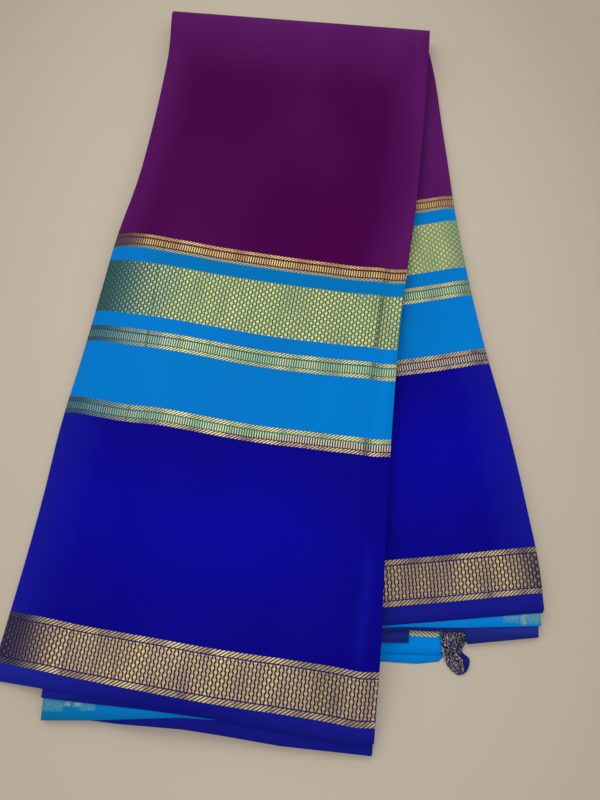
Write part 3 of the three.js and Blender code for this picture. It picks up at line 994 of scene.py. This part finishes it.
    # Faint patches of gold thread on the sky blue edges
    patches = g.most(*[
        g.times(g.within(place, low, high, 1.6), g.within(up, bottom, top, 1), strength)
        for low, high, bottom, top, strength in PATCHES
    ])
    dots = g.noise(g.vector(g.times(over, 1.4), g.times(up, 1.1)), 1, 2, 0.7)
    patches = g.times(sky_edge, patches)
    in_chain = g.times(field, chain)
    in_bar = g.times(bars, bar)
    colour = g.coats(
        ground,
        (g.times(g.within(level, low_e, high_e), is_main), "1C1660"),
        (in_bars, bar_gap),
        (field, dark),
        (in_chain, g.mix(bead, neck, bead_gold)),
        (in_bar, bar_gold),
        (ropes, g.mix(stroke, rope_gap, rope_gold)),
        (stripe, g.mix(stroke, "66705E", "DEDCB0")),
        (g.math("MULTIPLY", patches, 2, clamp=True), "2A8698"),
        (g.times(patches, g.ramp(dots, 0.46, 0.58)), "B0B898"),
    )

    # Painted shade in the creases and where the cloth turns down at its sides, darker on the back half's
    # lowest band and in a patch near the front half's right side, and a painted highlight line near its
    # right edge
    metal = g.most(in_chain, in_bar, g.times(ropes, stroke), g.times(stripe, stroke))
    shade = g.times(g.blend(thread, 0.82, 1.18), g.less(crease, 0.72), g.less(side_shade, 0.5))
    shade = g.blend(g.most(metal, ropes), 1, shade)
    # Painted highlight: a lighter line near the front half's right edge, above its lowest borders
    highlight_line = g.times(g.within(from_left, 216, 223, 5), is_front, g.ramp(level, 150, 200))
    # A darker patch of the gold near the front half's right side, and painted shade at its right end,
    # where the cloth turns down
    dark_patch_and_right_shade = g.most(g.within(from_left, 196, 213, 7), g.times(g.ramp(from_left, 216, 230), 0.6))
    shade = g.times(
        shade,
        g.add(1, g.times(highlight_line, 0.1)),
        g.less(g.times(is_back, is_low, metal), 0.24),
        g.less(g.times(dark_patch_and_right_shade, is_front, is_low, metal), 0.34),
    )
    tint = g.node("ShaderNodeCombineColor")
    for socket in tint.inputs:
        g.join(shade, socket)
    colour = g.mix_node("RGBA", 1, colour, tint.outputs[0], blend_type="MULTIPLY")

    # Weave: fine threads both ways, slightly uneven, and the gold thread standing a little proud
    warp = g.math("SINE", g.times(over, 2 * math.pi / WARP_STEP))
    weft = g.math("SINE", g.times(up, 2 * math.pi / WEFT_STEP))
    slub = g.noise(g.vector(g.times(over, 0.7), g.times(up, 6)), 1, 2, 0.6)
    weave = g.add(g.times(warp, weft, 0.35), g.times(slub, 0.5))
    g.finish(colour, metal, g.add(weave, g.times(metal, 1.6)), 0.35, 0.00008, 0.02)
    g.shader.inputs["Sheen Weight"].default_value = 0.015
    g.shader.inputs["Sheen Roughness"].default_value = 0.4
    g.shader.inputs["Sheen Tint"].default_value = linear("8878F0")
    return g.material


def corner_material():
    """Dark border silk of the crumpled corner, with fine curling lines of gold thread."""
    g = Graph("corner_silk")
    x, y = g.cloth_map()
    plain = g.attribute("plain")
    curl = g.noise(g.vector(g.times(x, 0.34), g.times(y, 0.3)), 1, 1, 0.45)
    other = g.noise(g.vector(g.times(x, 0.5), g.times(y, 0.36), 7), 1, 1, 0.4)
    lines = g.most(
        g.ramp(g.phase(g.times(curl, 4.6), 1), 0.125, 0.06),
        g.ramp(g.phase(g.times(other, 3.6), 1), 0.11, 0.05),
    )
    lines = g.times(lines, g.less(plain))
    gold = g.mix(g.ramp(other, 0.42, 0.6), "7E7864", "E2D6A8")
    colour = g.coats(
        g.mix(curl, "100E38", "1A1A5C"), (plain, "16166E"), (g.times(lines, 0.9), gold)
    )
    g.finish(colour, lines, g.add(lines, g.noise(g.vector(x, y), 2, 3)), 0.4, 0.0001, 0.05)
    return g.material


# The crumpled corner of the border that hangs out from between the back half's lower layers: how far
# down and across the back half its left and right sides lie, its height and the height of its pleats
CORNER_ROWS = [
    ((507, 42.5), (509, 60.5), 2.9, 0.1),
    ((513, 41.6), (515, 60.6), 2.8, 0.25),
    ((518.4, 41.3), (521.4, 59.4), 2.7, 0.7),
    ((526.2, 40.3), (527.2, 55), 2.6, 1.2),
    ((531, 40.2), (531, 52.9), 2.5, 1.5),
    ((537, 41.6), (535.4, 56.4), 2.2, 1.3),
    ((541.4, 44.2), (539.2, 55.9), 1.9, 1),
    ((543.6, 46.4), (542.6, 53.8), 1.4, 0.6),
    ((544.6, 47.8), (544.4, 51), 1, 0.2),
]
CORNER_SHEET = 0.3
CORNER_STEPS = (44, 72)  # rows along it, and points in each
CORNER_SIZE = (22, 40)  # its own coordinates run to these, across and along it


def make_corner():
    """The crumpled corner, as a short narrowing sheet in uneven upright pleats that curl over its
    edge."""
    steps, count = CORNER_STEPS
    keys = np.arange(len(CORNER_ROWS))
    at = np.linspace(0, keys[-1], steps)
    left = np.column_stack([curve(keys, [r[0][i] for r in CORNER_ROWS], at) for i in (0, 1)])
    right = np.column_stack([curve(keys, [r[1][i] for r in CORNER_ROWS], at) for i in (0, 1)])
    middle = curve(keys, [r[2] for r in CORNER_ROWS], at)
    pleat = curve(keys, [r[3] for r in CORNER_ROWS], at)
    t = np.linspace(0, 1, count)
    rows = []
    for i in range(steps):
        s = at[i] / keys[-1]
        wander = t + 0.035 * np.sin(9 * s + 11 * t) * smoothstep(s, 0.1, 0.4)
        wave = np.sin(2 * np.pi * (3.4 * wander + 0.45 * s) + 0.9 * np.sin(5 * s))
        wave = wave * (0.75 + 0.25 * np.sin(7 * t + 8 * s))
        small = 0.28 * np.sin(23 * t + 17 * s) * smoothstep(s, 0.15, 0.45)
        sides = np.minimum(t, 1 - t)
        rounded = smoothstep(sides, -0.02, 0.13)
        lean = 0.035 * np.sin(2 * np.pi * 3.4 * wander + 1.2) * smoothstep(s, 0.15, 0.5)
        place = left[i] + np.multiply.outer(t + lean * smoothstep(sides, 0, 0.1), right[i] - left[i])
        z = (middle[i] + pleat[i] * (wave + small)) * (0.35 + 0.65 * rounded)
        z = np.maximum(z, 0.35 + CORNER_SHEET / 2)
        plan = np.multiply.outer(place[:, 0], back.down) + np.multiply.outer(place[:, 1], back.side)
        upper = np.column_stack([plan, z + CORNER_SHEET / 2])
        lower = np.column_stack([plan, z - CORNER_SHEET / 2])
        rows.append(np.stack([upper, lower], axis=1))
    rows = np.array(rows)
    faces = sheet_faces(steps, count)
    points = rows.reshape(-1, 3) + [*PIVOT, 0]
    faces = faces[:, ::-1]
    corner = mesh_object("sari_corner", points * MM, faces)
    grid_s, grid_t = np.meshgrid(np.linspace(0, 1, steps), t, indexing="ij")
    uv = np.column_stack([grid_t.ravel() * CORNER_SIZE[0], grid_s.ravel() * CORNER_SIZE[1]])
    uv = np.repeat(uv, 2, axis=0) * MM
    corner.data.uv_layers.new(name="cloth").data.foreach_set("uv", uv[faces.ravel()].ravel())
    plain = smoothstep(grid_t, 0.68, 0.76) * smoothstep(grid_s, 0.46, 0.56)
    plain = np.maximum(plain, 0.8 * smoothstep(grid_s, 0.84, 0.95))
    store(corner.data, "plain", "POINT", np.repeat(plain.ravel(), 2))
    corner.data.materials.append(corner_material())
    return corner


def floor_material():
    """Pale, with a painted pool of light that makes it paler round the cloth, and a faint glow of its
    own tone, which lightens the shadows on it.
    """
    g = Graph("pale_floor")
    grain = g.noise(g.node("ShaderNodeTexCoord").outputs["Object"], 3.0, 3.0)
    oval = g.node("ShaderNodeVectorMath", operation="MULTIPLY")
    g.join(g.node("ShaderNodeTexCoord").outputs["Object"], oval.inputs[0])
    oval.inputs[1].default_value = (1.5, 0.85, 1.0)
    away = g.node("ShaderNodeVectorMath", operation="LENGTH")
    g.join(oval.outputs[0], away.inputs[0])
    # Painted pool of light: the floor is paler near the cloth and darker farther out
    outer = g.ramp(away.outputs["Value"], 0.24, 0.48)
    tone = g.mix(g.times(grain, 0.12), g.mix(outer, "ACA190", "998E7E"), "948878")
    g.join(tone, g.shader.inputs["Base Color"])
    g.join(tone, g.shader.inputs["Emission Color"])
    g.shader.inputs["Emission Strength"].default_value = 0.3
    g.shader.inputs["Roughness"].default_value = 0.9
    g.shader.inputs["Specular IOR Level"].default_value = 0.05
    return g.material


def make_floor():
    size, steps = 3.0, 8
    edge = np.linspace(-size, size, steps + 1)
    x, y = np.meshgrid(edge, edge)
    points = np.column_stack([x.ravel(), y.ravel(), np.zeros(x.size)])
    at = np.arange((steps + 1) ** 2).reshape(steps + 1, -1)
    corners = at[:-1, :-1], at[:-1, 1:], at[1:, 1:], at[1:, :-1]
    floor = mesh_object("floor", points, np.column_stack([c.ravel() for c in corners]))
    floor.data.materials.append(floor_material())
    return floor


# The camera's place over the table, its tilt and its lens, as fitted to the cloth's outline
CAMERA_PLACE = ((PIVOT[0] - 0.2) * MM, (PIVOT[1] - 587.3) * MM, 0.507)
CAMERA_TILT = 25
CAMERA_LENS = 35.1
CAMERA_SENSOR = 36

# Soft lights aimed at the origin: place, size, power and colour
LIGHTS = {
    "key": ((-0.5, 0.55, 1.5), 1.2, 9, (1, 0.98, 0.95)),
    "fill": ((0.8, -0.5, 1.6), 1.4, 4, (0.97, 0.98, 1)),
}
WORLD_COLOUR, WORLD_STRENGTH = (0.95, 0.96, 1, 1), 0.72


def area_light(name, place, size, power, colour):
    data = bpy.data.lights.new(name, "AREA")
    data.shape = "DISK"
    data.size = size
    data.energy = power
    data.color = colour
    light = add_object(name, data)
    light.location = place
    light.rotation_euler = (-Vector(place)).to_track_quat("-Z", "Y").to_euler()


def make_camera():
    data = bpy.data.cameras.new("camera")
    data.lens = CAMERA_LENS
    data.sensor_width = CAMERA_SENSOR
    camera = add_object("camera", data)
    camera.location = CAMERA_PLACE
    camera.rotation_euler = (math.radians(CAMERA_TILT), 0, 0)
    scene.camera = camera


make_camera()
cloth = make_cloth()
cloth.data.materials.append(silk_material())
corner = make_corner()
floor = make_floor()

for name, light in LIGHTS.items():
    area_light(name, *light)
world = bpy.data.worlds.new("studio")
world.use_nodes = True
background = world.node_tree.nodes["Background"]
background.inputs["Color"].default_value = WORLD_COLOUR
background.inputs["Strength"].default_value = WORLD_STRENGTH
scene.world = world
scene.view_settings.view_transform = "Standard"

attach(cloth, "root")
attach(corner, "root")
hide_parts("sari")
